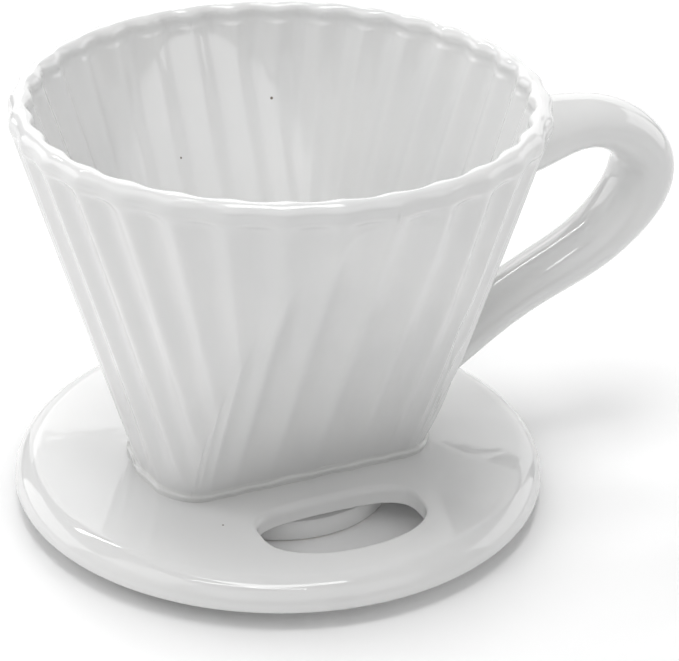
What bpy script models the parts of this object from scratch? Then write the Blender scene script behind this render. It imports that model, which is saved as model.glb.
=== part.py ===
"""Ceramic pour over coffee dripper: fluted bowl, base plate, locating ring, loop handle and slip beads.

Metres, +Z up. The table is z = 0. The handle and the bowl's long axis point along +X.
The origin is the middle of the overall length and width, so the bowl's axis stands at x = AXIS_X.
Lofts, profiles and paths below are written about the bowl's axis and placed by a parent empty.
"""
import math

import bmesh
import bpy
from mathutils import Vector

NAME = "pour_over_dripper"

# Overall sizes
HEIGHT = 0.100
PLATE_RADIUS = 0.0622
HANDLE_REACH = 0.1016
AXIS_X = (PLATE_RADIUS - HANDLE_REACH) / 2
JOINT_GAP = 0.0003

# Rolled rim
RIM_RADIUS = 0.060
LIP_RADIUS = 0.0027
LIP_SCALLOP = 0.0006
LIP_INNER_REACH = 0.0030
LIP_INNER_SCALLOP = 0.0009
LIP_OUTER_ANGLE = math.radians(-45)
LIP_INNER_ANGLE = math.radians(200)
LIP_SIDE_ROWS = 4

# Bowl wall: a cone cut by two flats, both straight from foot to shoulder
FOOT_RADIUS = 0.0347
FOOT_HALF_WIDTH = 0.0172
SHOULDER_RADIUS = 0.0592
SHOULDER_HEIGHT = HEIGHT - 0.0065
CONE_WALL = 0.0060
FLAT_WALL = 0.0062
OUTER_FOOT_CORNER = 0.0095
OUTER_TOP_CORNER = 0.022
INNER_FOOT_CORNER = 0.006
INNER_TOP_CORNER = 0.017

# Flutes
FLUTES = 32
COLUMNS_PER_FLUTE = 4
WALL_ROWS = 11
OUTER_FLUTE_DEPTH = 0.0014
INNER_FLUTE_DEPTH = 0.0014
RIB_PITCH = 2 * math.pi * RIM_RADIUS / FLUTES
RIB_DRIFT = math.radians(9)
DRIFT_END = math.radians(57)
DRIFT_FULLNESS = 0.7
EVEN_SHARE = 0.08
KINK_HALVINGS = 40

# Base plate
PLATE_TOP = 0.0108
PLATE_THICKNESS = 0.0043
EDGE_THICKNESS = 0.0063
EDGE_ROLL = 0.0062
EDGE_BOTTOM_ROUND = 0.0006
EDGE_HOLLOW_RADIUS = 0.0556
PLATE_STEPS = 72

# Window slot in the plate, on the -Y side
SLOT_HALF_LENGTH = 0.0196
SLOT_INNER_Y = -0.0274
SLOT_OUTER_Y = -0.0488
SLOT_WIDEST_Y = -0.0372
SLOT_INNER_SQUARENESS = 3.5
SLOT_OUTER_SQUARENESS = 2.1
SLOT_POINTS = 48

# Drip holes in the plate, inside the bowl
DRIP_HOLE_RADIUS = 0.00275
DRIP_HOLE_SPACING = 0.0135
DRIP_HOLE_COUNT = 3
DRIP_HOLE_SEGMENTS = 24

# Locating ring
RING_OUTER_RADIUS = 0.0269
RING_INNER_RADIUS = 0.0229
RING_CHAMFER = 0.0006

# Loop handle: path of (x, z) control points, with the oval's scale at each
HANDLE_HALF_THICKNESS = 0.0060
HANDLE_HALF_WIDTH = 0.0087
HANDLE_SECTION_POINTS = 20
HANDLE_PATH = (
    (0.0500, 0.0788, 1.50),
    (0.0610, 0.0794, 1.42),
    (0.0715, 0.0814, 1.00),
    (0.0848, 0.0804, 0.99),
    (0.0950, 0.0719, 1.10),
    (0.0951, 0.0635, 1.16),
    (0.0898, 0.0553, 1.06),
    (0.0795, 0.0466, 0.98),
    (0.0599, 0.0394, 0.88),
    (0.0455, 0.0299, 0.92),
    (0.0360, 0.0235, 0.98),
)

# Slip beads
FOOT_BEAD_RADIUS = 0.0008
HANDLE_BEAD_RADIUS = 0.0009
FOOT_BEAD_POINTS = 96
HANDLE_BEAD_POINTS = 36
BEAD_HALVINGS = 40
BEAD_CLEARANCE = 1.1
UPPER_JOINT = (0.0562, 0.0793)
UPPER_JOINT_AXIS = (0.996, 0.09)
UPPER_JOINT_SCALE = 1.50
LOWER_JOINT = (0.0406, 0.0266)
LOWER_JOINT_AXIS = (0.832, 0.555)
LOWER_JOINT_SCALE = 0.98

GLAZE = {"color": (0.86, 0.86, 0.85, 1.0), "roughness": 0.08}
SLIP = {"color": (0.86, 0.86, 0.84, 1.0), "roughness": 0.12}


def clear_scene():
    """Remove every object of the scene."""
    for obj in list(bpy.data.objects):
        bpy.data.objects.remove(obj, do_unlink=True)


def new_collection(name):
    """Make a collection in the scene."""
    collection = bpy.data.collections.new(name)
    bpy.context.scene.collection.children.link(collection)
    return collection


def ceramic(name, color, roughness):
    """Make a plain ceramic material."""
    material = bpy.data.materials.new(name)
    material.use_nodes = True
    shader = material.node_tree.nodes["Principled BSDF"]
    shader.inputs["Base Color"].default_value = color
    shader.inputs["Roughness"].default_value = roughness
    shader.inputs["Metallic"].default_value = 0.0
    return material


def add_object(name, data, collection, axis, material=None):
    """Add an object on the bowl's axis empty."""
    obj = bpy.data.objects.new(name, data)
    collection.objects.link(obj)
    obj.parent = axis
    if material:
        data.materials.append(material)
    return obj


def hide_helper(obj):
    """Mark a cutter as a helper that is no part of the object."""
    obj.hide_render = True
    obj.display_type = "WIRE"


def shade(mesh, angle):
    """Shade a mesh smooth, apart from edges sharper than an angle in degrees."""
    mesh.shade_smooth()
    mesh.set_sharp_from_angle(angle=math.radians(angle))


def cut(obj, cutter):
    """Cut an object with another, by an exact Boolean."""
    modifier = obj.modifiers.new("cut", "BOOLEAN")
    modifier.operation = "DIFFERENCE"
    modifier.solver = "EXACT"
    modifier.object = cutter


# ---- Bowl ----

def climb_at(z):
    """Share of the way from the bowl's foot to its shoulder."""
    return (z - PLATE_TOP) / (SHOULDER_HEIGHT - PLATE_TOP)


def cone_radius(z):
    """Radius of the outer cone at a height."""
    return FOOT_RADIUS + (SHOULDER_RADIUS - FOOT_RADIUS) * climb_at(z)


def flat_half_width(z):
    """Distance from the axis to an outer flat at a height."""
    return FOOT_HALF_WIDTH + (SHOULDER_RADIUS - FOOT_HALF_WIDTH) * climb_at(z)


def corner_azimuth(z):
    """Azimuth of the corner between cone and flat at a height, in the first quarter."""
    return math.asin(min(1, flat_half_width(z) / cone_radius(z)))


def drifted(angle, z):
    """Azimuth on the cone of a column that starts at an angle at the rim: it drifts to the corner."""
    if angle >= DRIFT_END:
        return angle
    share = math.sin(math.pi * angle / DRIFT_END) ** DRIFT_FULLNESS
    return angle + RIB_DRIFT * (1 - climb_at(z)) * share


def kink_height(angle):
    """Height at which a column meets the corner, found by halving steps."""
    low, high = PLATE_TOP, SHOULDER_HEIGHT
    for _ in range(KINK_HALVINGS):
        middle = (low + high) / 2
        if drifted(angle, middle) > corner_azimuth(middle):
            low = middle
        else:
            high = middle
    return high


def column_azimuth(angle, z):
    """Azimuth of a column at a height: along the cone above the corner, straight down the flat below it."""
    azimuth = drifted(angle, z)
    if azimuth > corner_azimuth(z):
        kink = kink_height(angle)
        run = cone_radius(kink) * math.cos(drifted(angle, kink))
        azimuth = math.atan2(flat_half_width(z), run)
    even = EVEN_SHARE * (1 - climb_at(z))
    return azimuth + (angle - azimuth) * even


def quarter_outline(azimuth, radius, half_width, corner):
    """Point and outward normal in the first quarter of a circle cut by a flat, with a round corner."""
    centre_y = min(half_width, radius) - corner
    centre_x = math.sqrt((radius - corner) ** 2 - centre_y ** 2)
    direction = Vector((math.cos(azimuth), math.sin(azimuth)))
    if azimuth <= math.atan2(centre_y, centre_x):
        return direction * radius, direction
    if azimuth >= math.atan2(half_width, centre_x):
        return direction * (half_width / direction.y), Vector((0, 1))
    centre = Vector((centre_x, centre_y))
    along = direction.dot(centre)
    reach = along + math.sqrt(max(0, along ** 2 - centre.length_squared + corner ** 2))
    point = direction * reach
    return point, (point - centre) / corner


def outline_point(angle, z, size):
    """Point and outward normal of a column on the whole outline, mirrored from its first quarter."""
    mirror = Vector((1 if math.cos(angle) >= 0 else -1, 1 if math.sin(angle) >= 0 else -1))
    folded = math.atan2(abs(math.sin(angle)), abs(math.cos(angle)))
    point, normal = quarter_outline(column_azimuth(folded, z), *size)
    return point * mirror, normal * mirror


def channel_depth(angle):
    """Depth of a flute between two ribs: 0 on a rib's crest, 1 in the middle of the channel."""
    turn = angle * FLUTES / (2 * math.pi)
    from_crest = 2 * abs(turn - round(turn))
    return 1 - (1 - from_crest) ** 2


def rib_spacing(angle, z, size):
    """Distance between ribs at an angle, no more than the pitch at the rim."""
    step = math.pi / FLUTES
    before, _ = outline_point(angle - step, z, size)
    after, _ = outline_point(angle + step, z, size)
    return min((after - before).length, RIB_PITCH)


def outer_size(z, offset=0.0):
    """Radius, half width and corner radius of the outer skin at a height."""
    corner = OUTER_FOOT_CORNER + (OUTER_TOP_CORNER - OUTER_FOOT_CORNER) * climb_at(z)
    return cone_radius(z) + offset, flat_half_width(z) + offset, corner


def inner_size(z):
    """Radius, half width and corner radius of the inner skin's rib crests at a height."""
    corner = INNER_FOOT_CORNER + (INNER_TOP_CORNER - INNER_FOOT_CORNER) * climb_at(z)
    return cone_radius(z) - CONE_WALL, flat_half_width(z) - FLAT_WALL, corner


def skin_point(angle, z, size, depth):
    """Point of a fluted skin: depth is positive into an outer skin and negative into an inner one."""
    point, normal = outline_point(angle, z, size)
    scale = rib_spacing(angle, z, size) / RIB_PITCH
    point = point - normal * depth * scale * channel_depth(angle)
    return Vector((point.x, point.y, z))


def lip_point(angle, turn):
    """Point of the rolled lip: turn is 0 on its outer side and pi on its broader inner side."""
    channel = channel_depth(angle)
    reach = LIP_RADIUS - LIP_SCALLOP * channel
    if math.cos(turn) < 0:
        reach = LIP_INNER_REACH - LIP_INNER_SCALLOP * channel
    radius = RIM_RADIUS - LIP_RADIUS + reach * math.cos(turn)
    z = HEIGHT - LIP_RADIUS + LIP_RADIUS * math.sin(turn)
    return Vector((radius * math.cos(angle), radius * math.sin(angle), z))


def spread(low, high, count):
    """Evenly spaced values from low to high."""
    return [low + (high - low) * i / (count - 1) for i in range(count)]


def loft(name, rows, closed):
    """Join rows of points into a mesh. A closed loft also joins its last row to its first."""
    mesh = bpy.data.meshes.new(name)
    bm = bmesh.new()
    loops = [[bm.verts.new(point) for point in row] for row in rows]
    pairs = list(zip(loops, loops[1:]))
    if closed:
        pairs.append((loops[-1], loops[0]))
    else:
        bm.faces.new(list(reversed(loops[0])))
        bm.faces.new(loops[-1])
    for low, high in pairs:
        for i in range(len(low)):
            j = (i + 1) % len(low)
            bm.faces.new((low[i], low[j], high[j], high[i]))
    bmesh.ops.triangulate(bm, faces=[face for face in bm.faces if len(face.verts) > 4])
    bm.to_mesh(mesh)
    bm.free()
    return mesh


def build_bowl(collection, axis, material):
    """The fluted wall: up its outer skin, over the lip and down its inner skin."""
    angles = [2 * math.pi * i / (FLUTES * COLUMNS_PER_FLUTE) for i in range(FLUTES * COLUMNS_PER_FLUTE)]
    heights = spread(PLATE_TOP + JOINT_GAP, SHOULDER_HEIGHT, WALL_ROWS)
    turns = spread(LIP_OUTER_ANGLE, math.pi / 2, LIP_SIDE_ROWS)
    turns += spread(math.pi / 2, LIP_INNER_ANGLE, LIP_SIDE_ROWS)[1:]
    rows = [[skin_point(a, z, outer_size(z), OUTER_FLUTE_DEPTH) for a in angles] for z in heights]
    rows += [[lip_point(a, turn) for a in angles] for turn in turns]
    rows += [[skin_point(a, z, inner_size(z), -INNER_FLUTE_DEPTH) for a in angles] for z in reversed(heights)]
    mesh = loft("fluted_bowl", rows, closed=True)
    shade(mesh, 50)
    return add_object("fluted_bowl", mesh, collection, axis, material)


def bowl_cutter(collection, axis):
    """A solid as large as the bowl's outside and the joint gap, for trimming the handle's ends."""
    angles = [2 * math.pi * i / (2 * FLUTES) for i in range(2 * FLUTES)]
    rows = []
    for z in (PLATE_TOP, SHOULDER_HEIGHT):
        rows.append([skin_point(a, z, outer_size(z, JOINT_GAP), 0) for a in angles])
    cutter = add_object("bowl_cutter", loft("bowl_cutter", rows, closed=False), collection, axis)
    hide_helper(cutter)
    return cutter


# ---- Plate and ring ----

def turned(name, profile, closed, collection, axis, material):
    """Turn a profile of (radius, z) points about the axis. It runs down its outer side."""
    mesh = bpy.data.meshes.new(name)
    edges = [(i, i + 1) for i in range(len(profile) - 1)]
    if closed:
        edges.append((len(profile) - 1, 0))
    mesh.from_pydata([(radius, 0, z) for radius, z in profile], edges, [])
    obj = add_object(name, mesh, collection, axis, material)
    screw = obj.modifiers.new("turn", "SCREW")
    screw.axis = "Z"
    screw.angle = 2 * math.pi
    screw.steps = PLATE_STEPS
    screw.render_steps = PLATE_STEPS
    screw.use_merge_vertices = True
    screw.merge_threshold = 0.00005
    screw.use_smooth_shade = True
    return obj


def arc(centre_radius, centre_z, size_radius, size_z, start, end, count):
    """Points of an elliptical arc of a turned profile, between two angles in degrees."""
    points = []
    for angle in spread(math.radians(start), math.radians(end), count):
        points.append((centre_radius + size_radius * math.cos(angle), centre_z + size_z * math.sin(angle)))
    return points


def slot_outline():
    """Outline of the window slot: nearly straight towards the bowl and round towards the plate's edge."""
    points = []
    for i in range(SLOT_POINTS):
        angle = 2 * math.pi * i / SLOT_POINTS
        outer = math.sin(angle) < 0
        squareness = SLOT_OUTER_SQUARENESS if outer else SLOT_INNER_SQUARENESS
        reach = SLOT_WIDEST_Y - SLOT_OUTER_Y if outer else SLOT_INNER_Y - SLOT_WIDEST_Y
        x = math.copysign(abs(math.cos(angle)) ** (2 / squareness), math.cos(angle))
        y = math.copysign(abs(math.sin(angle)) ** (2 / squareness), math.sin(angle))
        points.append((x * SLOT_HALF_LENGTH, SLOT_WIDEST_Y + y * reach))
    return points


def outline_curve(name, points, closed):
    """A polyline curve through points of two or three coordinates."""
    curve = bpy.data.curves.new(name, "CURVE")
    curve.dimensions = "2D" if len(points[0]) == 2 else "3D"
    spline = curve.splines.new("POLY")
    spline.points.add(len(points) - 1)
    for target, point in zip(spline.points, points):
        target.co = (*point, 0, 1) if len(point) == 2 else (*point, 1)
    spline.use_cyclic_u = closed
    return curve


def curve_to_mesh(curve_object, collection, axis, material=None):
    """Replace a curve object with a welded mesh object of the same name and place."""
    name = curve_object.name
    graph = bpy.context.evaluated_depsgraph_get()
    mesh = bpy.data.meshes.new_from_object(curve_object.evaluated_get(graph))
    bpy.data.objects.remove(curve_object)
    bm = bmesh.new()
    bm.from_mesh(mesh)
    bmesh.ops.remove_doubles(bm, verts=bm.verts, dist=0.00001)
    bmesh.ops.recalc_face_normals(bm, faces=bm.faces)
    bm.to_mesh(mesh)
    bm.free()
    mesh.materials.clear()
    mesh.name = name
    return add_object(name, mesh, collection, axis, material)


def slot_cutter(collection, axis):
    """A prism of the window slot's outline, through the plate."""
    curve = outline_curve("slot_cutter", slot_outline(), closed=True)
    curve.fill_mode = "BOTH"
    curve.extrude = EDGE_THICKNESS
    cutter = curve_to_mesh(add_object("slot_cutter", curve, collection, axis), collection, axis)
    cutter.location.z = PLATE_TOP - PLATE_THICKNESS / 2
    hide_helper(cutter)
    return cutter


def drip_hole_cutter(index, collection, axis):
    """One cylinder of the row of drip holes along the bowl's long axis."""
    mesh = bpy.data.meshes.new("drip_hole_cutter")
    bm = bmesh.new()
    bmesh.ops.create_cone(
        bm, cap_ends=True, segments=DRIP_HOLE_SEGMENTS, radius1=DRIP_HOLE_RADIUS, radius2=DRIP_HOLE_RADIUS,
        depth=4 * PLATE_THICKNESS)
    bm.to_mesh(mesh)
    bm.free()
    cutter = add_object(f"drip_hole_cutter_{index}", mesh, collection, axis)
    cutter.location = ((index - (DRIP_HOLE_COUNT - 1) / 2) * DRIP_HOLE_SPACING, 0, PLATE_TOP)
    hide_helper(cutter)
    return cutter


def build_plate(collection, cutters, axis, material):
    """The round plate with its rolled-down edge, cut by the window slot and the drip holes."""
    underside = PLATE_TOP - PLATE_THICKNESS
    lowest = PLATE_TOP - EDGE_THICKNESS
    roll_z = lowest + EDGE_BOTTOM_ROUND
    profile = [(0, PLATE_TOP)]
    profile += arc(PLATE_RADIUS - EDGE_ROLL, roll_z, EDGE_ROLL, PLATE_TOP - roll_z, 90, 0, 9)
    profile += [(PLATE_RADIUS - EDGE_BOTTOM_ROUND, lowest), (PLATE_RADIUS - EDGE_ROLL, lowest)]
    profile += [(EDGE_HOLLOW_RADIUS, underside), (0, underside)]
    plate = turned("base_plate", profile, False, collection, axis, material)
    cut(plate, slot_cutter(cutters, axis))
    for index in range(DRIP_HOLE_COUNT):
        cut(plate, drip_hole_cutter(index, cutters, axis))
    return plate


def build_ring(collection, axis, material):
    """The locating ring, which stands on the table."""
    top = PLATE_TOP - PLATE_THICKNESS - JOINT_GAP
    profile = [
        (RING_OUTER_RADIUS, top),
        (RING_OUTER_RADIUS, RING_CHAMFER),
        (RING_OUTER_RADIUS - RING_CHAMFER, 0),
        (RING_INNER_RADIUS + RING_CHAMFER, 0),
        (RING_INNER_RADIUS, RING_CHAMFER),
        (RING_INNER_RADIUS, top),
    ]
    return turned("locating_ring", profile, True, collection, axis, material)


# ---- Handle ----

def oval_profile(collection, axis):
    """The handle's cross-section, as a closed curve."""
    points = []
    for i in range(HANDLE_SECTION_POINTS):
        angle = 2 * math.pi * i / HANDLE_SECTION_POINTS
        points.append((HANDLE_HALF_WIDTH * math.cos(angle), HANDLE_HALF_THICKNESS * math.sin(angle)))
    profile = add_object("handle_section", outline_curve("handle_section", points, True), collection, axis)
    hide_helper(profile)
    return profile


def build_handle(collection, cutters, axis, material):
    """The loop handle: an oval swept along a smooth path, trimmed to the bowl's outside."""
    section = oval_profile(cutters, axis)
    curve = bpy.data.curves.new("loop_handle", "CURVE")
    curve.dimensions = "3D"
    curve.twist_mode = "MINIMUM"
    curve.bevel_mode = "OBJECT"
    curve.bevel_object = section
    curve.use_fill_caps = True
    curve.resolution_u = 4
    spline = curve.splines.new("NURBS")
    spline.points.add(len(HANDLE_PATH) - 1)
    for target, (x, z, scale) in zip(spline.points, HANDLE_PATH):
        target.co = (x, 0, z, 1)
        target.radius = scale
    spline.order_u = 4
    spline.use_endpoint_u = True
    handle = curve_to_mesh(add_object("loop_handle", curve, collection, axis), collection, axis, material)
    bpy.data.objects.remove(section)
    cut(handle, bowl_cutter(cutters, axis))
    shade(handle.data, 50)
    return handle


# ---- Slip beads ----

def bead(name, points, radius, collection, axis, material):
    """A closed round bead through points."""
    curve = outline_curve(name, points, closed=True)
    curve.bevel_depth = radius
    curve.bevel_resolution = 1
    obj = curve_to_mesh(add_object(name, curve, collection, axis), collection, axis, material)
    shade(obj.data, 60)
    return obj


def build_foot_bead(collection, axis, material):
    """The bead round the bowl's foot, which follows its flutes."""
    z = PLATE_TOP + JOINT_GAP + FOOT_BEAD_RADIUS
    top = z + FOOT_BEAD_RADIUS
    away = JOINT_GAP + FOOT_BEAD_RADIUS
    points = []
    for i in range(FOOT_BEAD_POINTS):
        angle = 2 * math.pi * i / FOOT_BEAD_POINTS
        point, normal = outline_point(angle, top, outer_size(top))
        point = point + normal * away
        points.append((point.x, point.y, z))
    return bead("foot_slip_bead", points, FOOT_BEAD_RADIUS, collection, axis, material)


def slide_to_wall(start, direction, away):
    """Slide a point along a direction, by halving steps, until it is a distance from the bowl's cone."""
    near, far = -RIM_RADIUS / 2, RIM_RADIUS / 2
    for _ in range(BEAD_HALVINGS):
        middle = (near + far) / 2
        point = start + direction * middle
        if point.xy.length < cone_radius(point.z) + away:
            near = middle
        else:
            far = middle
    return start + direction * far


def build_handle_bead(name, joint, joint_axis, scale, collection, axis, material):
    """The bead round one of the handle's joints, lying on the bowl's wall."""
    direction = Vector((joint_axis[0], 0, joint_axis[1])).normalized()
    across = Vector((-direction.z, 0, direction.x))
    away = JOINT_GAP + HANDLE_BEAD_RADIUS
    half_thickness = HANDLE_HALF_THICKNESS * scale + away
    half_width = HANDLE_HALF_WIDTH * scale + away
    centre = Vector((joint[0], 0, joint[1]))
    points = []
    for i in range(HANDLE_BEAD_POINTS):
        angle = 2 * math.pi * i / HANDLE_BEAD_POINTS
        start = centre + across * half_thickness * math.cos(angle)
        start = start + Vector((0, half_width * math.sin(angle), 0))
        points.append(tuple(slide_to_wall(start, direction, BEAD_CLEARANCE * away)))
    return bead(name, points, HANDLE_BEAD_RADIUS, collection, axis, material)


def main():
    clear_scene()
    pieces = new_collection(NAME)
    cutters = new_collection("cutters")
    axis = bpy.data.objects.new("bowl_axis", None)
    axis.location.x = AXIS_X
    pieces.objects.link(axis)
    glaze = ceramic("white_glaze", **GLAZE)
    slip = ceramic("slip_glaze", **SLIP)
    build_bowl(pieces, axis, glaze)
    build_plate(pieces, cutters, axis, glaze)
    build_ring(pieces, axis, glaze)
    build_handle(pieces, cutters, axis, glaze)
    build_foot_bead(pieces, axis, slip)
    build_handle_bead(
        "upper_handle_slip_bead", UPPER_JOINT, UPPER_JOINT_AXIS, UPPER_JOINT_SCALE, pieces, axis, slip)
    build_handle_bead(
        "lower_handle_slip_bead", LOWER_JOINT, LOWER_JOINT_AXIS, LOWER_JOINT_SCALE, pieces, axis, slip)


main()
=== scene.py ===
"""Looks of the ceramic pour over dripper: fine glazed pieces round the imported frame, in a soft studio.

Metres, +Z up. The table is z = 0 and the handle points along +X. Overall sizes come from the frame.
Shapes are written about the bowl's axis, which stands at x = AXIS_X, and are moved there at the end.
"""
import functools
import math

import bmesh
import bpy
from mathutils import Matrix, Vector, noise


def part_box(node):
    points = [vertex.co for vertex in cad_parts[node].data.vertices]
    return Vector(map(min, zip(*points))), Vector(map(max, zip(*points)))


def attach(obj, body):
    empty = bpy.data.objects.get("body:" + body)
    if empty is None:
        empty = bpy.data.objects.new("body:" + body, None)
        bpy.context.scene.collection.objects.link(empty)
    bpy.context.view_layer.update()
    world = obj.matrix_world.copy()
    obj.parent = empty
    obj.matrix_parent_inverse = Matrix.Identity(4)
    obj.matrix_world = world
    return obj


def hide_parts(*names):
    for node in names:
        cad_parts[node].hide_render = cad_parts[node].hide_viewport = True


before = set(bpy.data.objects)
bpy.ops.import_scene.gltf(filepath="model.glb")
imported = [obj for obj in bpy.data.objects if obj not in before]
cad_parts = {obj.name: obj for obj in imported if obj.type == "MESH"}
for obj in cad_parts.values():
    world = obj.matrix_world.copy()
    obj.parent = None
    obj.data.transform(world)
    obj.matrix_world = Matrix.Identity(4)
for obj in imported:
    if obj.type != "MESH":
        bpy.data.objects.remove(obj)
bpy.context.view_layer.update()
BOWL_LOW, BOWL_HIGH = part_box("fluted_bowl")
PLATE_LOW, PLATE_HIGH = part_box("base_plate")
RING_LOW, RING_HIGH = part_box("locating_ring")

MM = 0.001
BODY = "root"

# Overall sizes, from the frame
AXIS_X = (BOWL_LOW.x + BOWL_HIGH.x) / 2
HEIGHT = BOWL_HIGH.z
RIM_RADIUS = (BOWL_HIGH.y - BOWL_LOW.y) / 2
PLATE_RADIUS = (PLATE_HIGH.y - PLATE_LOW.y) / 2
PLATE_TOP = PLATE_HIGH.z
EDGE_THICKNESS = PLATE_HIGH.z - PLATE_LOW.z
RING_RADIUS = (RING_HIGH.y - RING_LOW.y) / 2
RING_TOP = RING_HIGH.z

# Rolled rim
LIP_RADIUS = 2.7 * MM
LIP_SCALLOP = 0.6 * MM
LIP_DIP = 0.12 * MM
LIP_CENTRE_Z = HEIGHT - LIP_RADIUS
LIP_RIB_REACH = 3.0 * MM
LIP_HOLLOW_REACH = 1.85 * MM
LIP_RIB_SKIRT = 3.4 * MM
LIP_HOLLOW_SKIRT = 3.0 * MM
LIP_INNER_SQUARENESS = 2.4
LIP_ROWS = 26
LIP_JOIN = 1.0 * MM
LIP_BLEND = 2.0 * MM

# Bowl wall: a cone cut by two flats, both straight from foot to shoulder
FOOT_RADIUS = 34.7 * MM
FOOT_HALF_WIDTH = 17.2 * MM
SHOULDER_RADIUS = 59.2 * MM
SHOULDER_HEIGHT = HEIGHT - 6.5 * MM
CONE_WALL = 6.0 * MM
FLAT_WALL = 6.2 * MM
OUTER_FOOT_CORNER = 9.5 * MM
OUTER_TOP_CORNER = 22 * MM
INNER_FOOT_CORNER = 6 * MM
INNER_TOP_CORNER = 17 * MM
FLOOR_COVE = 3 * MM
WALL_ROWS = 90
WALL_END_CROWDING = 0.75

# Flutes
FLUTES = 32
FLUTE_COLUMNS = 18
CREST_CROWDING = 0.55
OUTER_CREST_SOFTNESS = 0.42
INNER_CREST_SOFTNESS = 0.7
OUTER_FLUTE_DEPTH = 1.6 * MM
INNER_FLUTE_DEPTH = 1.7 * MM
RIB_PITCH = 2 * math.pi * RIM_RADIUS / FLUTES
RIB_DRIFT = math.radians(9)
DRIFT_END = math.radians(57)
DRIFT_FULLNESS = 0.7
EVEN_SHARE = 0.08
KINK_HALVINGS = 40
OUTER_ARCH_TOP = HEIGHT - 2.2 * MM
OUTER_ARCH_HEIGHT = 4.4 * MM
INNER_ARCH_TOP = HEIGHT + 1.0 * MM
INNER_ARCH_HEIGHT = 6.0 * MM
ARCH_DROP = 1.2 * MM
FOOT_FADE = 25 * MM
FOOT_SHARE = 0.22

# Base plate
WEB_THICKNESS = 4.3 * MM
EDGE_ROLL = 6.2 * MM
EDGE_BOTTOM_ROUND = 0.6 * MM
EDGE_HOLLOW_RADIUS = 54.6 * MM
PLATE_COLUMNS = 256
EDGE_ROWS = 28
SUPPORT_WIDTH = 0.3 * MM
ROUND_ROWS = 9

# Window slot, on the -Y side
SLOT_HALF_LENGTH = 19.6 * MM
SLOT_INNER_Y = -27.4 * MM
SLOT_OUTER_Y = -48.8 * MM
SLOT_WIDEST_Y = -37.2 * MM
SLOT_INNER_SQUARENESS = 3.5
SLOT_OUTER_SQUARENESS = 2.1
SLOT_POINTS = 160
SLOT_INNER_ROUND = 1.9 * MM
SLOT_OUTER_ROUND = 0.5 * MM

# Drip holes
DRIP_HOLE_RADIUS = 2.75 * MM
DRIP_HOLE_SPACING = 13.5 * MM
DRIP_HOLE_COUNT = 3
DRIP_HOLE_POINTS = 48
DRIP_HOLE_ROUND = 0.6 * MM

# Locating ring
RING_WALL = 4 * MM
RING_ROUND = 1.0 * MM
RING_COVE = 1.2 * MM
BARE_HEIGHT = 0.35 * MM

# Loop handle: path of (x, z) control points, with the oval's scale at each
HANDLE_HALF_THICKNESS = 6.0 * MM
HANDLE_HALF_WIDTH = 8.7 * MM
HANDLE_PATH = (
    (50.0 * MM, 78.8 * MM, 1.50),
    (61.0 * MM, 79.4 * MM, 1.42),
    (71.5 * MM, 81.4 * MM, 1.00),
    (84.8 * MM, 80.4 * MM, 0.99),
    (94.8 * MM, 71.9 * MM, 1.10),
    (94.9 * MM, 63.5 * MM, 1.16),
    (89.8 * MM, 55.3 * MM, 1.06),
    (79.5 * MM, 46.6 * MM, 0.98),
    (59.9 * MM, 39.4 * MM, 0.88),
    (45.5 * MM, 29.9 * MM, 0.92),
    (29.0 * MM, 18.8 * MM, 0.98),
)
HANDLE_ROWS = 200
HANDLE_COLUMNS = 56
HANDLE_SUNK = 2.4 * MM
HANDLE_COVE = 2.2 * MM
HANDLE_HALVINGS = 30
PATH_STEP = 1e-4
PATH_END = 1 - 1e-9
UPPER_HALF = (0.0, 0.45)
LOWER_HALF = (1.0, 0.55)

# Slip beads. The foot bead's profile is (distance out from the wall, height), in millimetres
FOOT_BEAD_PROFILE = (
    (-0.3, 3.0), (-0.12, 2.6), (-0.02, 2.25), (0.06, 1.95), (0.16, 1.74), (0.3, 1.6), (0.48, 1.52),
    (0.66, 1.42), (0.82, 1.25), (0.94, 1.0), (1.0, 0.7), (1.02, 0.4), (1.08, 0.15), (1.2, -0.1),
    (-1.2, -0.1),
)
FOOT_BEAD_WOBBLE = 0.22
FOOT_BEAD_WOBBLE_SIZE = 9 * MM
HANDLE_BEAD_RADIUS = 0.8 * MM
HANDLE_BEAD_WOBBLE = 0.5
HANDLE_BEAD_NOISE_RADIUS = 3
UPPER_BEAD_SEED = 1.0
LOWER_BEAD_SEED = 5.0
HANDLE_BEAD_POINTS = 160
HANDLE_BEAD_SIDES = 12
COLUMN_STEPS = 6

# Hand-made unevenness of the clay, pushed inwards only
WOBBLE_DEPTH = 0.10 * MM
WOBBLE_SIZE = 16 * MM
FINE_WOBBLE = 0.4
FINE_WOBBLE_SCALE = 2.7

# Iron specks in the glaze, as (place, radius)
SPECKS = (
    ((-2.4 * MM, 45.4 * MM, 78.3 * MM), 0.45 * MM),
    ((-27.7 * MM, 40.9 * MM, 68.7 * MM), 0.35 * MM),
    ((-45.6 * MM, -28.6 * MM, 10.8 * MM), 0.3 * MM),
)

# Materials. Noise textures are (scale, detail), bumps are (strength, height)
NOISE_LOW = 0.35
NOISE_HIGH = 0.65
GLAZE = ((0.80, 0.80, 0.795), (0.775, 0.777, 0.775))
SLIP_GLAZE = ((0.80, 0.80, 0.79), (0.77, 0.77, 0.76))
GLAZE_ROUGHNESS = 0.035
GLAZE_ROUGHNESS_RANGE = (0.025, 0.05)
GLAZE_IOR = 1.52
GLAZE_CLOUDS = (38, 3)
GLAZE_SMEARS = (110, 2)
GLAZE_RIPPLES = (160, 1)
RIPPLE_BUMP = (0.25, 0.12 * MM)
SPECK_COLOR = (0.16, 0.13, 0.10)
SPECK_CORE = 0.5
BARE_CLAY = (0.74, 0.70, 0.64)
BARE_CLAY_TONES = ((0.70, 0.66, 0.60), (0.78, 0.75, 0.70))
BARE_CLAY_ROUGHNESS = 0.75
CLAY_GRAIN = (2600, 4)
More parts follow.
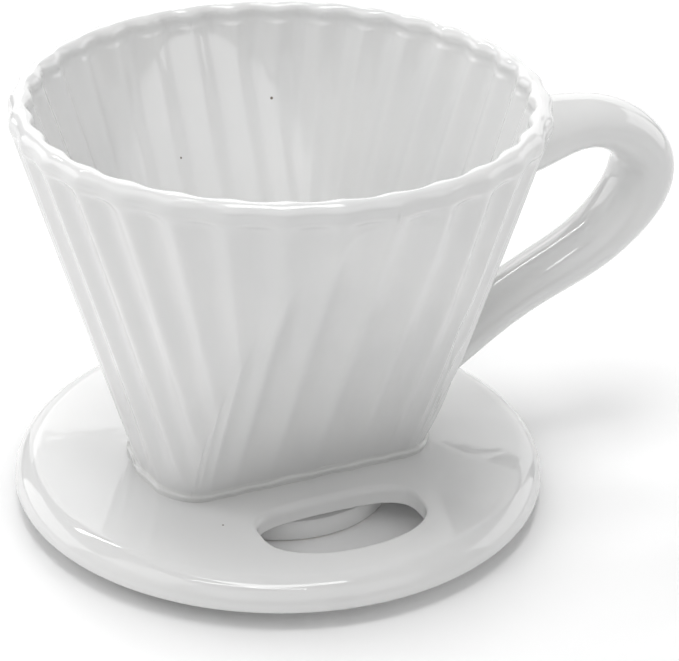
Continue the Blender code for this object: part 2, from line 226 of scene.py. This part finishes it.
GRAIN_BUMP = (0.5, 0.1 * MM)
FLOOR_COLOR = (0.97, 0.97, 0.97)
FLOOR_ROUGHNESS = 0.5
FLOOR_SPECULAR = 0.2
FLOOR_HALF_SIZE = 4

# Soft lights as (name, azimuth, elevation, width, height, watts), all at one distance from the dripper
LIGHT_DISTANCE = 1.5
WORLD_STRENGTH = 0.01
LIGHTS = (
    ("top", 0, 90, 0.70, 0.70, 10.3),
    ("high_left", 174, 60, 0.42, 0.035, 0.3),
    ("back_left_panel", 78, 31, 0.63, 0.50, 1.7),
    ("middle_left", 180, 45, 0.84, 0.70, 2.8),
    ("middle_front", 262, 40, 2.60, 1.20, 9.4),
    ("low_right", 0, 17, 1.20, 0.85, 5.8),
    ("low_back", 62, 15, 2.00, 0.78, 6.8),
    ("low_back_left", 135, 17, 1.20, 0.85, 7.2),
    ("low_left", 180, 17, 1.20, 0.85, 1.7),
    ("low_front_left", 225, 17, 1.20, 0.85, 0.15),
    ("back_strip", 92, 48, 1.00, 0.06, 2.6),
    ("overhead_strip", 225, 72, 0.86, 0.06, 1.9),
)

# Camera, from the bowl's axis
CAMERA_PLACE = Vector((-0.1987, -0.4551, 0.3059))
CAMERA_TILT = math.radians(61.9)
CAMERA_ROLL = math.radians(-0.85)
CAMERA_TURN = math.radians(-24.28)
CAMERA_LENS = 129.2
SENSOR_WIDTH = 36
CAMERA_SHIFT = 0.025


# ---- Small helpers ----

def mix(a, b, share):
    """Value a share of the way from a to b."""
    return a + (b - a) * share


def smooth(value):
    """Smooth step from 0 to 1."""
    value = min(1, max(0, value))
    return value * value * (3 - 2 * value)


def smooth_max(a, b, width):
    """Larger of two values, rounded where they are about equal."""
    share = min(1, max(0, 0.5 + 0.5 * (a - b) / width))
    return mix(b, a, share) + width * share * (1 - share)


def spread(low, high, count):
    """Evenly spaced values from low to high."""
    return [mix(low, high, i / (count - 1)) for i in range(count)]


def crowded_ends(low, high, count):
    """Values from low to high, closer together near both ends."""
    values = []
    for share in spread(0, 1, count):
        share -= WALL_END_CROWDING * math.sin(2 * math.pi * share) / (2 * math.pi)
        values.append(mix(low, high, share))
    return values


def new_object(name, bm, material):
    """Turn a bmesh about the bowl's axis into a smooth piece of the dripper."""
    bmesh.ops.recalc_face_normals(bm, faces=bm.faces)
    bmesh.ops.translate(bm, verts=bm.verts, vec=(AXIS_X, 0, 0))
    mesh = bpy.data.meshes.new(name)
    bm.to_mesh(mesh)
    bm.free()
    mesh.shade_smooth()
    mesh.materials.append(material)
    obj = bpy.data.objects.new(name, mesh)
    bpy.context.scene.collection.objects.link(obj)
    return obj


def stand_for(obj, node):
    """Put a piece in a CAD node's place."""
    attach(obj, BODY)
    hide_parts(node)


def add_loops(bm, rows):
    """Vertices of several rows of points."""
    return [[bm.verts.new(point) for point in row] for row in rows]


def bridge(bm, loops, around=False):
    """Quads between neighbouring loops of vertices. Each loop is closed."""
    pairs = list(zip(loops, loops[1:]))
    if around:
        pairs.append((loops[-1], loops[0]))
    for low, high in pairs:
        for i in range(len(low)):
            j = (i + 1) % len(low)
            bm.faces.new((low[i], low[j], high[j], high[i]))


def loop_edges(bm, loop):
    """Edges of a closed loop of vertices."""
    edges = []
    for i in range(len(loop)):
        pair = (loop[i], loop[(i + 1) % len(loop)])
        edges.append(bm.edges.get(pair) or bm.edges.new(pair))
    return edges


def wobble(bm):
    """Push the surface in by a slow, uneven amount, as slip-cast clay is."""
    bm.normal_update()
    moves = []
    for vert in bm.verts:
        value = noise.noise(vert.co / WOBBLE_SIZE)
        value += FINE_WOBBLE * noise.noise(vert.co * FINE_WOBBLE_SCALE / WOBBLE_SIZE)
        moves.append(vert.normal * WOBBLE_DEPTH * (0.5 + 0.5 * value))
    for vert, move in zip(bm.verts, moves):
        vert.co -= move


# ---- Bowl ----

def climb_at(z):
    """Share of the way from the bowl's foot to its shoulder."""
    return (z - PLATE_TOP) / (SHOULDER_HEIGHT - PLATE_TOP)


def cone_radius(z):
    """Radius of the outer cone at a height."""
    return mix(FOOT_RADIUS, SHOULDER_RADIUS, climb_at(z))


def flat_half_width(z):
    """Distance from the axis to an outer flat at a height."""
    return mix(FOOT_HALF_WIDTH, SHOULDER_RADIUS, climb_at(z))


def outer_size(z):
    """Radius, half width and corner radius of the outer rib crests at a height."""
    corner = mix(OUTER_FOOT_CORNER, OUTER_TOP_CORNER, climb_at(z))
    return cone_radius(z), flat_half_width(z), corner


def inner_size(z):
    """Radius, half width and corner radius of the inner rib crests at a height."""
    rise = min(FLOOR_COVE, max(0, z - PLATE_TOP))
    cove = FLOOR_COVE - math.sqrt(FLOOR_COVE ** 2 - (FLOOR_COVE - rise) ** 2)
    corner = mix(INNER_FOOT_CORNER, INNER_TOP_CORNER, climb_at(z))
    return cone_radius(z) - CONE_WALL - cove, flat_half_width(z) - FLAT_WALL - cove, corner


def corner_azimuth(z):
    """Azimuth of the corner between cone and flat at a height, in the first quarter."""
    return math.asin(min(1, flat_half_width(z) / cone_radius(z)))


def drifted(angle, z):
    """Azimuth on the cone of a column that starts at an angle at the rim: it drifts to the corner."""
    if angle >= DRIFT_END:
        return angle
    share = math.sin(math.pi * angle / DRIFT_END) ** DRIFT_FULLNESS
    return angle + RIB_DRIFT * (1 - climb_at(z)) * share


@functools.lru_cache(maxsize=None)
def kink_run(angle):
    """Distance along the flat at which a column meets the corner, found by halving steps."""
    low, high = PLATE_TOP, SHOULDER_HEIGHT
    for _ in range(KINK_HALVINGS):
        middle = (low + high) / 2
        if drifted(angle, middle) > corner_azimuth(middle):
            low = middle
        else:
            high = middle
    return cone_radius(high) * math.cos(drifted(angle, high))


def column_azimuth(angle, z):
    """Azimuth of a column at a height: along the cone above the corner, down the flat below it."""
    azimuth = drifted(angle, z)
    if azimuth > corner_azimuth(z):
        azimuth = math.atan2(flat_half_width(z), kink_run(angle))
    even = EVEN_SHARE * (1 - climb_at(z))
    return mix(azimuth, angle, even)


def quarter_outline(azimuth, radius, half_width, corner):
    """Point and outward normal in the first quarter of a circle cut by a flat, with a round corner."""
    centre_y = min(half_width, radius) - corner
    centre_x = math.sqrt((radius - corner) ** 2 - centre_y ** 2)
    direction = Vector((math.cos(azimuth), math.sin(azimuth)))
    if azimuth <= math.atan2(centre_y, centre_x):
        return direction * radius, direction
    if azimuth >= math.atan2(half_width, centre_x):
        return direction * (half_width / direction.y), Vector((0, 1))
    centre = Vector((centre_x, centre_y))
    along = direction.dot(centre)
    reach = along + math.sqrt(max(0, along ** 2 - centre.length_squared + corner ** 2))
    point = direction * reach
    return point, (point - centre) / corner


def outline_point(angle, z, size):
    """Point and outward normal of a column on the whole outline, mirrored from its first quarter."""
    mirror = Vector((1 if math.cos(angle) >= 0 else -1, 1 if math.sin(angle) >= 0 else -1))
    folded = round(math.atan2(abs(math.sin(angle)), abs(math.cos(angle))), 9)
    point, normal = quarter_outline(column_azimuth(folded, z), *size)
    return point * mirror, normal * mirror


def rib_spacing(angle, z, size):
    """Distance between ribs at an angle, no more than the pitch at the rim."""
    step = math.pi / FLUTES
    before, _ = outline_point(angle - step, z, size)
    after, _ = outline_point(angle + step, z, size)
    return min((after - before).length, RIB_PITCH)


def groove(angle, side):
    """How far down a flute's round section an angle is: 0 on a rib's soft crest, 1 in mid channel."""
    softness = OUTER_CREST_SOFTNESS if side > 0 else INNER_CREST_SOFTNESS
    turn = angle * FLUTES / (2 * math.pi)
    from_crest = 2 * abs(turn - round(turn))
    soft = math.hypot(from_crest, softness) - softness
    soft /= math.hypot(1, softness) - softness
    return 1 - (1 - soft) ** 2


def channel(angle, z, side):
    """Share of a flute's full depth: it ends in an arch under the lip and grows shallow at the foot."""
    hollow = groove(angle, side)
    arch_top = OUTER_ARCH_TOP if side > 0 else INNER_ARCH_TOP
    arch_height = OUTER_ARCH_HEIGHT if side > 0 else INNER_ARCH_HEIGHT
    arch = smooth((arch_top - ARCH_DROP * (1 - hollow) - z) / arch_height)
    return hollow * arch * mix(FOOT_SHARE, 1, smooth((z - PLATE_TOP) / FOOT_FADE))


def lip_reach(angle, side):
    """How far the lip reaches from its centre circle. The side is 1 outwards and -1 inwards."""
    if side > 0:
        return LIP_RADIUS - LIP_SCALLOP * groove(angle, side)
    return mix(LIP_RIB_REACH, LIP_HOLLOW_REACH, groove(angle, side))


def join_lip(point, angle, z, side):
    """Run a wall point smoothly into the lip's underside, which reaches lowest at the inner ribs."""
    skirt = LIP_RADIUS if side > 0 else mix(LIP_RIB_SKIRT, LIP_HOLLOW_SKIRT, groove(angle, side))
    drop = min(1, (LIP_CENTRE_Z - z) / skirt)
    lip = RIM_RADIUS - LIP_RADIUS + side * lip_reach(angle, side) * math.sqrt(1 - drop ** 2)
    joined = side * smooth_max(side * point.length, side * lip, LIP_JOIN)
    radius = mix(lip, joined, smooth((LIP_CENTRE_Z - z) / LIP_BLEND))
    return point.normalized() * radius


def wall_point(angle, z, size, depth, side):
    """Point of the fluted wall. The side is 1 for its outer skin and -1 for its inner skin."""
    point, normal = outline_point(angle, z, size)
    scale = rib_spacing(angle, z, size) / RIB_PITCH
    point = point - normal * side * depth * scale * channel(angle, z, side)
    if z > LIP_CENTRE_Z - LIP_RIB_SKIRT:
        point = join_lip(point, angle, z, side)
    return Vector((point.x, point.y, z))


def lip_point(angle, turn):
    """Point of the rolled lip's top: turn is 0 on its outer side and pi on its flatter inner side."""
    side = 1 if turn <= math.pi / 2 else -1
    power = 1 if side > 0 else 2 / LIP_INNER_SQUARENESS
    across = side * lip_reach(angle, side) * abs(math.cos(turn)) ** power
    rise = (LIP_RADIUS - LIP_DIP * groove(angle, 1)) * math.sin(turn) ** power
    radius = RIM_RADIUS - LIP_RADIUS + across
    return Vector((radius * math.cos(angle), radius * math.sin(angle), LIP_CENTRE_Z + rise))


def flute_angles():
    """Angles of the bowl's columns, closer together near the rib crests."""
    angles = []
    for flute in range(FLUTES):
        for i in range(FLUTE_COLUMNS):
            share = i / FLUTE_COLUMNS
            share -= CREST_CROWDING * math.sin(2 * math.pi * share) / (2 * math.pi)
            angles.append((flute + share) * 2 * math.pi / FLUTES)
    return angles


def build_bowl(glaze):
    """The fluted bowl: up its outer skin, over the lip and down its inner skin to the floor."""
    angles = flute_angles()
    heights = crowded_ends(PLATE_TOP, LIP_CENTRE_Z, WALL_ROWS)
    turns = spread(0, math.pi, LIP_ROWS)[1:-1]
    rows = []
    for z in heights:
        rows.append([wall_point(a, z, outer_size(z), OUTER_FLUTE_DEPTH, 1) for a in angles])
    rows += [[lip_point(a, turn) for a in angles] for turn in turns]
    for z in reversed(heights):
        rows.append([wall_point(a, z, inner_size(z), INNER_FLUTE_DEPTH, -1) for a in angles])
    bm = bmesh.new()
    bridge(bm, add_loops(bm, rows), around=True)
    wobble(bm)
    bowl = new_object("glazed_bowl", bm, glaze)
    stand_for(bowl, "fluted_bowl")


# ---- Plate ----

def circle(radius, z, count, centre_x=0.0):
    """Points of a level circle."""
    points = []
    for i in range(count):
        angle = 2 * math.pi * i / count
        points.append(Vector((centre_x + radius * math.cos(angle), radius * math.sin(angle), z)))
    return points


def slot_outline():
    """Outline of the window slot: nearly straight towards the bowl, round towards the plate's edge."""
    points = []
    for i in range(SLOT_POINTS):
        angle = 2 * math.pi * i / SLOT_POINTS
        outer = math.sin(angle) < 0
        squareness = SLOT_OUTER_SQUARENESS if outer else SLOT_INNER_SQUARENESS
        reach = SLOT_WIDEST_Y - SLOT_OUTER_Y if outer else SLOT_INNER_Y - SLOT_WIDEST_Y
        x = math.copysign(abs(math.cos(angle)) ** (2 / squareness), math.cos(angle))
        y = math.copysign(abs(math.sin(angle)) ** (2 / squareness), math.sin(angle))
        points.append(Vector((x * SLOT_HALF_LENGTH, SLOT_WIDEST_Y + y * reach)))
    return points


def outline_normals(points):
    """Outward normals of a closed flat outline that runs anticlockwise."""
    normals = []
    for i, _ in enumerate(points):
        along = points[(i + 1) % len(points)] - points[i - 1]
        normals.append(Vector((along.y, -along.x)).normalized())
    return normals


def opening_rows(points, rounds):
    """Rows down through an opening of the plate, rounded over at its top and bottom edges."""
    normals = outline_normals(points)
    underside = PLATE_TOP - WEB_THICKNESS
    lower = [min(r, SLOT_OUTER_ROUND) for r in rounds]
    turns = spread(0, math.pi / 2, ROUND_ROWS)
    rows = [[(r + SUPPORT_WIDTH, 0.0) for r in rounds]]
    for turn in turns:
        inward, fall = 1 - math.sin(turn), 1 - math.cos(turn)
        rows.append([(r * inward, r * fall) for r in rounds])
    for turn in turns:
        inward, fall = 1 - math.cos(turn), 1 - math.sin(turn)
        rows.append([(r * inward, WEB_THICKNESS - r * fall) for r in lower])
    rows.append([(r + SUPPORT_WIDTH, WEB_THICKNESS) for r in lower])
    placed = []
    for row in rows:
        line = []
        for point, normal, (out, down) in zip(points, normals, row):
            flat = point + normal * out
            line.append(Vector((flat.x, flat.y, max(underside, PLATE_TOP - down))))
        placed.append(line)
    return placed


def edge_rows():
    """Rows round the plate's quarter-round edge, from its top face to the hollow under it."""
    underside = PLATE_TOP - WEB_THICKNESS
    lowest = PLATE_TOP - EDGE_THICKNESS
    roll_z = lowest + EDGE_BOTTOM_ROUND
    centre = PLATE_RADIUS - EDGE_ROLL
    profile = [(centre - SUPPORT_WIDTH, PLATE_TOP)]
    for angle in spread(math.pi / 2, 0, EDGE_ROWS):
        rise = (PLATE_TOP - roll_z) * math.sin(angle)
        profile.append((centre + EDGE_ROLL * math.cos(angle), roll_z + rise))
    for angle in spread(0, math.pi / 2, ROUND_ROWS)[1:]:
        radius = PLATE_RADIUS - EDGE_BOTTOM_ROUND * (1 - math.cos(angle))
        profile.append((radius, roll_z - EDGE_BOTTOM_ROUND * math.sin(angle)))
    for share in spread(0, 1, ROUND_ROWS):
        radius = mix(centre + MM, EDGE_HOLLOW_RADIUS, share)
        profile.append((radius, mix(lowest, underside, smooth(share))))
    profile.append((EDGE_HOLLOW_RADIUS - SUPPORT_WIDTH, underside))
    return [circle(radius, z, PLATE_COLUMNS) for radius, z in profile]


def build_plate(glaze):
    """The plate: level faces above and below, joined by its rolled edge, slot and drip holes."""
    slot = slot_outline()
    slot_rounds = []
    for point in slot:
        share = smooth((point.y - SLOT_WIDEST_Y) / (SLOT_INNER_Y - SLOT_WIDEST_Y))
        slot_rounds.append(mix(SLOT_OUTER_ROUND, SLOT_INNER_ROUND, share))
    bm = bmesh.new()
    rims = [add_loops(bm, edge_rows()), add_loops(bm, opening_rows(slot, slot_rounds))]
    for index in range(DRIP_HOLE_COUNT):
        x = (index - (DRIP_HOLE_COUNT - 1) / 2) * DRIP_HOLE_SPACING
        hole = [point.xy for point in circle(DRIP_HOLE_RADIUS, 0, DRIP_HOLE_POINTS, x)]
        rims.append(add_loops(bm, opening_rows(hole, [DRIP_HOLE_ROUND] * DRIP_HOLE_POINTS)))
    for loops in rims:
        bridge(bm, loops)
    for end in (0, -1):
        edges = [edge for loops in rims for edge in loop_edges(bm, loops[end])]
        bmesh.ops.triangle_fill(bm, use_beauty=True, edges=edges)
    plate = new_object("glazed_plate", bm, glaze)
    stand_for(plate, "base_plate")


# ---- Ring ----

def ring_profile():
    """Closed profile of the locating ring as (radius, z): coves under the plate and rounded feet."""
    inner = RING_RADIUS - RING_WALL
    profile = []
    for angle in spread(0, math.pi / 2, ROUND_ROWS):
        reach = RING_COVE * (1 - math.sin(angle))
        profile.append((RING_RADIUS + reach, RING_TOP - RING_COVE * (1 - math.cos(angle))))
    for angle in spread(0, -math.pi / 2, ROUND_ROWS):
        radius = RING_RADIUS - RING_ROUND * (1 - math.cos(angle))
        profile.append((radius, RING_ROUND * (1 + math.sin(angle))))
    for angle in spread(-math.pi / 2, -math.pi, ROUND_ROWS):
        radius = inner + RING_ROUND * (1 + math.cos(angle))
        profile.append((radius, RING_ROUND * (1 + math.sin(angle))))
    for angle in spread(math.pi / 2, 0, ROUND_ROWS):
        reach = RING_COVE * (1 - math.sin(angle))
        profile.append((inner - reach, RING_TOP - RING_COVE * (1 - math.cos(angle))))
    return profile


def build_ring(glaze, bisque):
    """The locating ring, with the bare clay band that it stood on in the kiln."""
    bm = bmesh.new()
    bridge(bm, add_loops(bm, [circle(r, z, PLATE_COLUMNS) for r, z in ring_profile()]), around=True)
    ring = new_object("glazed_locating_ring", bm, glaze)
    ring.data.materials.append(bisque)
    for face in ring.data.polygons:
        if face.center.z < BARE_HEIGHT:
            face.material_index = 1
    stand_for(ring, "locating_ring")


# ---- Handle ----

def path_point(t):
    """Point (x, z) and scale of the handle's path at t from 0 to 1: a clamped cubic B-spline."""
    count = len(HANDLE_PATH)
    inner = count - 3
    knots = [0] * 3 + [i / inner for i in range(inner + 1)] + [1] * 3
    t = min(max(t, 0), PATH_END)
    span = 3 + int(t * inner)
    values = [Vector(HANDLE_PATH[span - 3 + i]) for i in range(4)]
    for level in range(1, 4):
        for i in range(3, level - 1, -1):
            low = knots[span - 3 + i]
            high = knots[span + 1 + i - level]
            values[i] = mix(values[i - 1], values[i], (t - low) / (high - low))
    return values[3]


def wall_distance(point):
    """Distance of a point from the bowl's outer rib crests, negative inside the wall."""
    slope = (SHOULDER_RADIUS - FOOT_RADIUS) / (SHOULDER_HEIGHT - PLATE_TOP)
    return (point.xy.length - cone_radius(point.z)) / math.hypot(1, slope)


def handle_point(t, turn):
    """Point of the handle's oval, which flares in a cove where it meets the bowl."""
    here, ahead, behind = path_point(t), path_point(t + PATH_STEP), path_point(t - PATH_STEP)
    centre = Vector((here[0], 0, here[1]))
    along = Vector((ahead[0] - behind[0], 0, ahead[1] - behind[1])).normalized()
    across = Vector((-along.z, 0, along.x))
    side = across * math.cos(turn) * HANDLE_HALF_THICKNESS
    side += Vector((0, math.sin(turn) * HANDLE_HALF_WIDTH, 0))
    point = centre + side * here[2]
    near = min(HANDLE_COVE, max(0, wall_distance(point)))
    flare = HANDLE_COVE - math.sqrt(HANDLE_COVE ** 2 - (HANDLE_COVE - near) ** 2)
    return point + side.normalized() * flare


def handle_meets(turn, ends, depth):
    """Place along the path where a line of the handle is at a depth in the bowl's wall."""
    inside, outside = ends
    for _ in range(HANDLE_HALVINGS):
        middle = (inside + outside) / 2
        if wall_distance(handle_point(middle, turn)) < -depth(handle_point(middle, turn)):
            inside = middle
        else:
            outside = middle
    return outside


def build_handle(glaze):
    """The loop handle, whose ends are sunk into the bowl's wall."""
    def sunk(_):
        return HANDLE_SUNK

    columns = []
    for i in range(HANDLE_COLUMNS):
        turn = 2 * math.pi * i / HANDLE_COLUMNS
        start = handle_meets(turn, UPPER_HALF, sunk)
        end = handle_meets(turn, LOWER_HALF, sunk)
        columns.append([handle_point(t, turn) for t in spread(start, end, HANDLE_ROWS)])
    bm = bmesh.new()
    loops = add_loops(bm, list(zip(*columns)))
    bridge(bm, loops)
    for end in (loops[0], loops[-1]):
        bm.faces.new(end)
    wobble(bm)
    handle = new_object("glazed_handle", bm, glaze)
    stand_for(handle, "loop_handle")


# ---- Slip beads ----

def foot_bead_point(angle, out, height):
    """Point of the foot bead, which follows the flutes and is uneven, as if smoothed by a finger."""
    z = PLATE_TOP + max(0, height)
    size = outer_size(z)
    point, normal = outline_point(angle, z, size)
    scale = rib_spacing(angle, z, size) / RIB_PITCH
    hollow = OUTER_FLUTE_DEPTH * scale * channel(angle, z, 1)
    place = Vector((point.x, point.y, 0)) / FOOT_BEAD_WOBBLE_SIZE
    uneven = 1 + FOOT_BEAD_WOBBLE * noise.noise(place)
    point = point + normal * (out * uneven - hollow)
    return Vector((point.x, point.y, PLATE_TOP + height * uneven))


def build_foot_bead(glaze):
    """The slip bead round the bowl's foot: a cove down the wall that ends in a soft ridge."""
    angles = flute_angles()
    rows = [[foot_bead_point(a, out * MM, up * MM) for a in angles] for out, up in FOOT_BEAD_PROFILE]
    bm = bmesh.new()
    bridge(bm, add_loops(bm, rows), around=True)
    obj = new_object("foot_slip", bm, glaze)
    stand_for(obj, "foot_slip_bead")


def flute_angle(azimuth, z):
    """Rim angle of the column that passes an azimuth of the cone at a height."""
    angle = abs(azimuth)
    for _ in range(COLUMN_STEPS):
        angle = max(0, abs(azimuth) - (drifted(angle, z) - angle))
    return angle


def wall_hollow(point):
    """Depth of the flute below the rib crests at a point by the handle."""
    angle = flute_angle(math.atan2(point.y, point.x), point.z)
    return OUTER_FLUTE_DEPTH * channel(angle, point.z, 1)


def bead_radius(turn, seed):
    """Uneven thickness of a hand-smoothed bead."""
    across, along = math.cos(turn), math.sin(turn)
    place = Vector((HANDLE_BEAD_NOISE_RADIUS * across, HANDLE_BEAD_NOISE_RADIUS * along, seed))
    return HANDLE_BEAD_RADIUS * (1 + HANDLE_BEAD_WOBBLE * noise.noise(place))


def build_handle_bead(name, node, ends, seed, glaze):
    """The uneven slip bead in the corner between the handle and the fluted wall."""
    centres = []
    for i in range(HANDLE_BEAD_POINTS):
        turn = 2 * math.pi * i / HANDLE_BEAD_POINTS
        centres.append(handle_point(handle_meets(turn, ends, wall_hollow), turn))
    bm = bmesh.new()
    loops = []
    for i, centre in enumerate(centres):
        along = (centres[(i + 1) % len(centres)] - centres[i - 1]).normalized()
        out = Vector((centre.x, centre.y, 0)).normalized()
        across = along.cross(out).normalized()
        out = across.cross(along)
        radius = bead_radius(2 * math.pi * i / HANDLE_BEAD_POINTS, seed)
        loop = []
        for j in range(HANDLE_BEAD_SIDES):
            angle = 2 * math.pi * j / HANDLE_BEAD_SIDES
            side = out * math.cos(angle) + across * math.sin(angle)
            loop.append(bm.verts.new(centre + side * radius))
        loops.append(loop)
    bridge(bm, loops, around=True)
    obj = new_object(name, bm, glaze)
    stand_for(obj, node)


# ---- Materials ----

def shader_material(name, color, roughness):
    """A new material and its Principled shader."""
    material = bpy.data.materials.new(name)
    material.use_nodes = True
    shader = material.node_tree.nodes["Principled BSDF"]
    shader.inputs["Base Color"].default_value = (*color, 1)
    shader.inputs["Roughness"].default_value = roughness
    return material, shader


def add_noise(tree, coordinates, scale, detail):
    """A noise texture in the object's own metres."""
    texture = tree.nodes.new("ShaderNodeTexNoise")
    texture.inputs["Scale"].default_value = scale
    texture.inputs["Detail"].default_value = detail
    tree.links.new(coordinates.outputs["Object"], texture.inputs["Vector"])
    return texture


def map_range(tree, source, low, high, start=NOISE_LOW, end=NOISE_HIGH):
    """Spread a texture's middle values over a range."""
    node = tree.nodes.new("ShaderNodeMapRange")
    node.inputs["From Min"].default_value = start
    node.inputs["From Max"].default_value = end
    node.inputs["To Min"].default_value = low
    node.inputs["To Max"].default_value = high
    tree.links.new(source, node.inputs["Value"])
    return node.outputs["Result"]


def mix_color(tree, factor, first, second):
    """Mix two colours, given as tuples or sockets, by a factor."""
    node = tree.nodes.new("ShaderNodeMix")
    node.data_type = "RGBA"
    tree.links.new(factor, node.inputs["Factor"])
    for name, value in (("A", first), ("B", second)):
        socket = next(s for s in node.inputs if s.name == name and s.type == "RGBA")
        if isinstance(value, tuple):
            socket.default_value = (*value, 1)
        else:
            tree.links.new(value, socket)
    return next(s for s in node.outputs if s.type == "RGBA")


def add_math(tree, operation, first, second):
    """A maths node of two sockets, or of a socket and a number."""
    node = tree.nodes.new("ShaderNodeMath")
    node.operation = operation
    for socket, value in zip(node.inputs, (first, second)):
        if isinstance(value, (int, float)):
            socket.default_value = value
        else:
            tree.links.new(value, socket)
    return node.outputs["Value"]


def specks(tree, coordinates):
    """Factor that is 1 on the few iron specks in the glaze and 0 elsewhere."""
    total = None
    for place, radius in SPECKS:
        away = tree.nodes.new("ShaderNodeVectorMath")
        away.operation = "DISTANCE"
        away.inputs[1].default_value = place
        tree.links.new(coordinates.outputs["Object"], away.inputs[0])
        dot = map_range(tree, away.outputs["Value"], 1, 0, radius * SPECK_CORE, radius)
        total = dot if total is None else add_math(tree, "MAXIMUM", total, dot)
    return total


def add_bump(tree, shader, texture, strength, height):
    """Roughen a shader's normal with a texture."""
    bump = tree.nodes.new("ShaderNodeBump")
    bump.inputs["Strength"].default_value = strength
    bump.inputs["Distance"].default_value = height
    tree.links.new(texture.outputs["Fac"], bump.inputs["Height"])
    tree.links.new(bump.outputs["Normal"], shader.inputs["Normal"])


def make_glaze(name, bright, pooled):
    """Glossy white glaze: faint clouding where it pools, soft ripples, and a few iron specks."""
    material, shader = shader_material(name, bright, GLAZE_ROUGHNESS)
    tree = material.node_tree
    coordinates = tree.nodes.new("ShaderNodeTexCoord")
    clouds = add_noise(tree, coordinates, *GLAZE_CLOUDS)
    body = mix_color(tree, map_range(tree, clouds.outputs["Fac"], 0, 1), bright, pooled)
    speckled = mix_color(tree, specks(tree, coordinates), body, SPECK_COLOR)
    tree.links.new(speckled, shader.inputs["Base Color"])
    smears = add_noise(tree, coordinates, *GLAZE_SMEARS)
    gloss = map_range(tree, smears.outputs["Fac"], *GLAZE_ROUGHNESS_RANGE)
    tree.links.new(gloss, shader.inputs["Roughness"])
    ripples = add_noise(tree, coordinates, *GLAZE_RIPPLES)
    add_bump(tree, shader, ripples, *RIPPLE_BUMP)
    shader.inputs["IOR"].default_value = GLAZE_IOR
    return material


def make_bisque():
    """Bare fired clay: matt, slightly warm, with a fine grain."""
    material, shader = shader_material("bare_clay", BARE_CLAY, BARE_CLAY_ROUGHNESS)
    tree = material.node_tree
    coordinates = tree.nodes.new("ShaderNodeTexCoord")
    grain = add_noise(tree, coordinates, *CLAY_GRAIN)
    tone = map_range(tree, grain.outputs["Fac"], 0, 1)
    tree.links.new(mix_color(tree, tone, *BARE_CLAY_TONES), shader.inputs["Base Color"])
    add_bump(tree, shader, grain, *GRAIN_BUMP)
    return material


# ---- Studio ----

def build_floor():
    """A plain pale floor."""
    material, shader = shader_material("pale_floor", FLOOR_COLOR, FLOOR_ROUGHNESS)
    shader.inputs["Specular IOR Level"].default_value = FLOOR_SPECULAR
    bm = bmesh.new()
    bmesh.ops.create_grid(bm, x_segments=1, y_segments=1, size=FLOOR_HALF_SIZE)
    mesh = bpy.data.meshes.new("floor")
    bm.to_mesh(mesh)
    bm.free()
    mesh.materials.append(material)
    floor = bpy.data.objects.new("floor", mesh)
    bpy.context.scene.collection.objects.link(floor)


def add_light(name, azimuth, elevation, width, height, power):
    """A rectangular light that faces the dripper from a compass direction, in degrees."""
    data = bpy.data.lights.new(name, "AREA")
    data.shape = "RECTANGLE"
    data.size = width
    data.size_y = height
    data.energy = power
    light = bpy.data.objects.new(name, data)
    bpy.context.scene.collection.objects.link(light)
    turn, rise = math.radians(azimuth), math.radians(elevation)
    away = Vector((math.cos(turn) * math.cos(rise), math.sin(turn) * math.cos(rise), math.sin(rise)))
    light.location = Vector((AXIS_X, 0, HEIGHT / 2)) + away * LIGHT_DISTANCE
    light.rotation_mode = "QUATERNION"
    light.rotation_quaternion = away.to_track_quat("Z", "Y")


def build_lights():
    """Soft light from all round but the right front, and thin strips for the glaze's bright lines."""
    world = bpy.data.worlds.new("studio")
    world.use_nodes = True
    background = world.node_tree.nodes["Background"]
    background.inputs["Color"].default_value = (1, 1, 1, 1)
    background.inputs["Strength"].default_value = WORLD_STRENGTH
    bpy.context.scene.world = world
    for light in LIGHTS:
        add_light(*light)


def build_camera():
    """The camera, above the dripper's front left."""
    data = bpy.data.cameras.new("camera")
    data.sensor_width = SENSOR_WIDTH
    data.lens = CAMERA_LENS
    data.shift_x = CAMERA_SHIFT
    camera = bpy.data.objects.new("camera", data)
    camera.location = CAMERA_PLACE + Vector((AXIS_X, 0, 0))
    camera.rotation_euler = (CAMERA_TILT, CAMERA_ROLL, CAMERA_TURN)
    bpy.context.scene.collection.objects.link(camera)
    bpy.context.scene.camera = camera


glaze = make_glaze("white_glaze", *GLAZE)
slip = make_glaze("slip_glaze", *SLIP_GLAZE)
build_bowl(glaze)
build_plate(glaze)
build_ring(glaze, make_bisque())
build_handle(glaze)
build_foot_bead(slip)
build_handle_bead("upper_handle_slip", "upper_handle_slip_bead", UPPER_HALF, UPPER_BEAD_SEED, slip)
build_handle_bead("lower_handle_slip", "lower_handle_slip_bead", LOWER_HALF, LOWER_BEAD_SEED, slip)
build_floor()
build_lights()
build_camera()
bpy.context.scene.view_settings.view_transform = "Standard"
